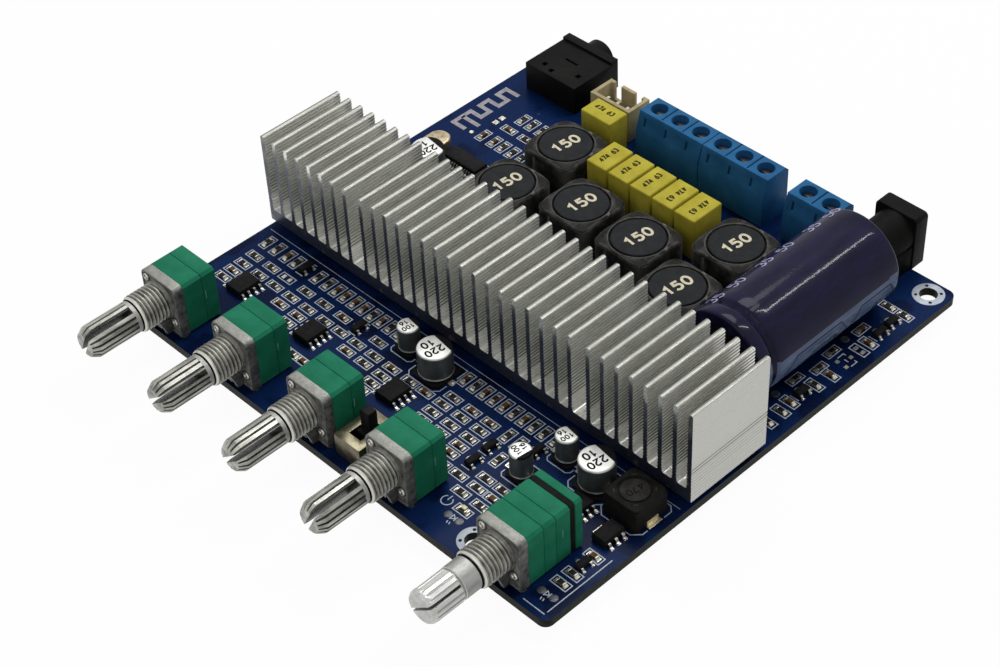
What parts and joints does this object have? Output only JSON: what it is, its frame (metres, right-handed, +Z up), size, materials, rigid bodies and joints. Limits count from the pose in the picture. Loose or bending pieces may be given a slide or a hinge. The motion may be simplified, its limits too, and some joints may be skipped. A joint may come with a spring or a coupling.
{
  "type": "audio amplifier board",
  "caption": "Audio amplifier circuit board with finned heatsink, front potentiometers, rear jacks and screw terminals, output inductors and a large reservoir capacitor.",
  "frame": {"origin": "middle of the circuit board's underside", "axes": "+X to the right along the potentiometers, +Y to the rear connectors, +Z up from the board"},
  "size_m": [0.102, 0.122, 0.0234],
  "materials": {
    "board_mask": "glossy dark blue solder mask on glass-fibre laminate",
    "heatsink_aluminium": "bare extruded aluminium with fine ribs",
    "screw_steel": "zinc-plated steel",
    "pad_rubber": "soft grey thermal pad",
    "chip_black": "moulded black epoxy",
    "chip_ceramic": "black and brown ceramic with tinned ends",
    "crystal_can": "plated metal can",
    "tinned_leads": "tin-plated brass",
    "switch_steel": "folded tin-plated sheet",
    "switch_black": "black moulding",
    "lever_plastic": "black moulding",
    "jack_black": "black moulding with slight sheen",
    "nickel_contacts": "nickel-plated contact",
    "header_cream": "cream nylon",
    "capacitor_sleeve": "shrunk dark violet sleeve with a pale band",
    "inductor_ferrite": "dark sintered ferrite",
    "film_yellow": "yellow moulded box",
    "can_aluminium": "drawn aluminium can",
    "can_base_black": "black moulded base",
    "plate_zinc": "die-cast plate, tumbled",
    "pot_green": "green moulded body",
    "shaft_aluminium": "turned and knurled aluminium",
    "terminal_blue": "blue moulded housing",
    "clamp_steel": "nickel-plated folded cage"
  },
  "bodies": {
    "board": {"pot_plate_1": "plate_zinc", "pot_body_1": "pot_green", "pot_plate_2": "plate_zinc", "pot_body_2": "pot_green", "pot_plate_3": "plate_zinc", "pot_body_3": "pot_green", "pot_plate_4": "plate_zinc", "pot_body_4": "pot_green", "pot_plate_5": "plate_zinc", "pot_body_5": "pot_green", "pot_pins": "tinned_leads", "switch_shell": "switch_steel", "switch_base": "switch_black", "switch_pins": "tinned_leads", "heatsink": "heatsink_aluminium", "heatsink_screws": "screw_steel", "amplifier_chips": "chip_black", "thermal_pads": "pad_rubber", "power_jack_housing": "jack_black", "power_jack_contacts": "nickel_contacts", "audio_jack_housing": "jack_black", "audio_jack_contacts": "tinned_leads", "header_housing": "header_cream", "header_pins": "tinned_leads", "terminal_housing_1": "terminal_blue", "terminal_housing_2": "terminal_blue", "terminal_housing_3": "terminal_blue", "terminal_pins": "tinned_leads", "reservoir_capacitor": "capacitor_sleeve", "output_inductors": "inductor_ferrite", "boost_inductor": "inductor_ferrite", "film_capacitors": "film_yellow", "smd_capacitor_cans": "can_aluminium", "smd_capacitor_bases": "can_base_black", "crystal": "crystal_can", "control_chips": "chip_black", "chip_components": "chip_ceramic", "circuit_board": "board_mask"},
    "shaft_1": {"pot_shaft_1": "shaft_aluminium"},
    "shaft_2": {"pot_shaft_2": "shaft_aluminium"},
    "shaft_3": {"pot_shaft_3": "shaft_aluminium"},
    "shaft_4": {"pot_shaft_4": "shaft_aluminium"},
    "shaft_5": {"pot_shaft_5": "shaft_aluminium"},
    "lever": {"switch_lever": "lever_plastic"},
    "terminal_screw_body_1": {"terminal_screw_1": "screw_steel"},
    "terminal_clamp_body_1": {"terminal_clamp_1": "clamp_steel"},
    "terminal_screw_body_2": {"terminal_screw_2": "screw_steel"},
    "terminal_clamp_body_2": {"terminal_clamp_2": "clamp_steel"},
    "terminal_screw_body_3": {"terminal_screw_3": "screw_steel"},
    "terminal_clamp_body_3": {"terminal_clamp_3": "clamp_steel"},
    "terminal_screw_body_4": {"terminal_screw_4": "screw_steel"},
    "terminal_clamp_body_4": {"terminal_clamp_4": "clamp_steel"},
    "terminal_screw_body_5": {"terminal_screw_5": "screw_steel"},
    "terminal_clamp_body_5": {"terminal_clamp_5": "clamp_steel"},
    "terminal_screw_body_6": {"terminal_screw_6": "screw_steel"},
    "terminal_clamp_body_6": {"terminal_clamp_6": "clamp_steel"},
    "terminal_screw_body_7": {"terminal_screw_7": "screw_steel"},
    "terminal_clamp_body_7": {"terminal_clamp_7": "clamp_steel"},
    "terminal_screw_body_8": {"terminal_screw_8": "screw_steel"},
    "terminal_clamp_body_8": {"terminal_clamp_8": "clamp_steel"}
  },
  "joints": [
    {"name": "shaft_1_turn", "type": "hinge", "parent": "board", "child": "shaft_1", "pos_m": [-0.0431, -0.04895, 0.0081], "axis": [0, -1, 0], "range_deg": [-150, 150]},
    {"name": "shaft_2_turn", "type": "hinge", "parent": "board", "child": "shaft_2", "pos_m": [-0.0239, -0.04895, 0.0081], "axis": [0, -1, 0], "range_deg": [-150, 150]},
    {"name": "shaft_3_turn", "type": "hinge", "parent": "board", "child": "shaft_3", "pos_m": [-0.0047, -0.04895, 0.0081], "axis": [0, -1, 0], "range_deg": [-150, 150]},
    {"name": "shaft_4_turn", "type": "hinge", "parent": "board", "child": "shaft_4", "pos_m": [0.0145, -0.04895, 0.0081], "axis": [0, -1, 0], "range_deg": [-150, 150]},
    {"name": "shaft_5_turn", "type": "hinge", "parent": "board", "child": "shaft_5", "pos_m": [0.03965, -0.04895, 0.0081], "axis": [0, -1, 0], "range_deg": [-150, 150]},
    {"name": "lever_slide", "type": "slide", "parent": "board", "child": "lever", "axis": [0, -1, 0], "range_m": [0, 0.002]},
    {"name": "terminal_screw_1_turn", "type": "hinge", "parent": "board", "child": "terminal_screw_body_1", "pos_m": [-0.01356, 0.04495, 0.00865], "axis": [0, 0, -1], "range_deg": [0, 1440]},
    {"name": "terminal_clamp_1_rise", "type": "slide", "parent": "board", "child": "terminal_clamp_body_1", "axis": [0, 0, 1], "range_m": [0, 0.002]},
    {"name": "terminal_screw_2_turn", "type": "hinge", "parent": "board", "child": "terminal_screw_body_2", "pos_m": [-0.00848, 0.04495, 0.00865], "axis": [0, 0, -1], "range_deg": [0, 1440]},
    {"name": "terminal_clamp_2_rise", "type": "slide", "parent": "board", "child": "terminal_clamp_body_2", "axis": [0, 0, 1], "range_m": [0, 0.002]},
    {"name": "terminal_screw_3_turn", "type": "hinge", "parent": "board", "child": "terminal_screw_body_3", "pos_m": [-0.0034, 0.04495, 0.00865], "axis": [0, 0, -1], "range_deg": [0, 1440]},
    {"name": "terminal_clamp_3_rise", "type": "slide", "parent": "board", "child": "terminal_clamp_body_3", "axis": [0, 0, 1], "range_m": [0, 0.002]},
    {"name": "terminal_screw_4_turn", "type": "hinge", "parent": "board", "child": "terminal_screw_body_4", "pos_m": [0.00188, 0.04495, 0.00865], "axis": [0, 0, -1], "range_deg": [0, 1440]},
    {"name": "terminal_clamp_4_rise", "type": "slide", "parent": "board", "child": "terminal_clamp_body_4", "axis": [0, 0, 1], "range_m": [0, 0.002]},
    {"name": "terminal_screw_5_turn", "type": "hinge", "parent": "board", "child": "terminal_screw_body_5", "pos_m": [0.00696, 0.04495, 0.00865], "axis": [0, 0, -1], "range_deg": [0, 1440]},
    {"name": "terminal_clamp_5_rise", "type": "slide", "parent": "board", "child": "terminal_clamp_body_5", "axis": [0, 0, 1], "range_m": [0, 0.002]},
    {"name": "terminal_screw_6_turn", "type": "hinge", "parent": "board", "child": "terminal_screw_body_6", "pos_m": [0.01204, 0.04495, 0.00865], "axis": [0, 0, -1], "range_deg": [0, 1440]},
    {"name": "terminal_clamp_6_rise", "type": "slide", "parent": "board", "child": "terminal_clamp_body_6", "axis": [0, 0, 1], "range_m": [0, 0.002]},
    {"name": "terminal_screw_7_turn", "type": "hinge", "parent": "board", "child": "terminal_screw_body_7", "pos_m": [0.02173, 0.04495, 0.00865], "axis": [0, 0, -1], "range_deg": [0, 1440]},
    {"name": "terminal_clamp_7_rise", "type": "slide", "parent": "board", "child": "terminal_clamp_body_7", "axis": [0, 0, 1], "range_m": [0, 0.002]},
    {"name": "terminal_screw_8_turn", "type": "hinge", "parent": "board", "child": "terminal_screw_body_8", "pos_m": [0.02681, 0.04495, 0.00865], "axis": [0, 0, -1], "range_deg": [0, 1440]},
    {"name": "terminal_clamp_8_rise", "type": "slide", "parent": "board", "child": "terminal_clamp_body_8", "axis": [0, 0, 1], "range_m": [0, 0.002]}
  ],
  "couplings": [
    {"joint": "terminal_screw_1_turn", "follows": "terminal_clamp_1_rise", "rad_per_m": 12566},
    {"joint": "terminal_screw_2_turn", "follows": "terminal_clamp_2_rise", "rad_per_m": 12566},
    {"joint": "terminal_screw_3_turn", "follows": "terminal_clamp_3_rise", "rad_per_m": 12566},
    {"joint": "terminal_screw_4_turn", "follows": "terminal_clamp_4_rise", "rad_per_m": 12566},
    {"joint": "terminal_screw_5_turn", "follows": "terminal_clamp_5_rise", "rad_per_m": 12566},
    {"joint": "terminal_screw_6_turn", "follows": "terminal_clamp_6_rise", "rad_per_m": 12566},
    {"joint": "terminal_screw_7_turn", "follows": "terminal_clamp_7_rise", "rad_per_m": 12566},
    {"joint": "terminal_screw_8_turn", "follows": "terminal_clamp_8_rise", "rad_per_m": 12566}
  ]
}
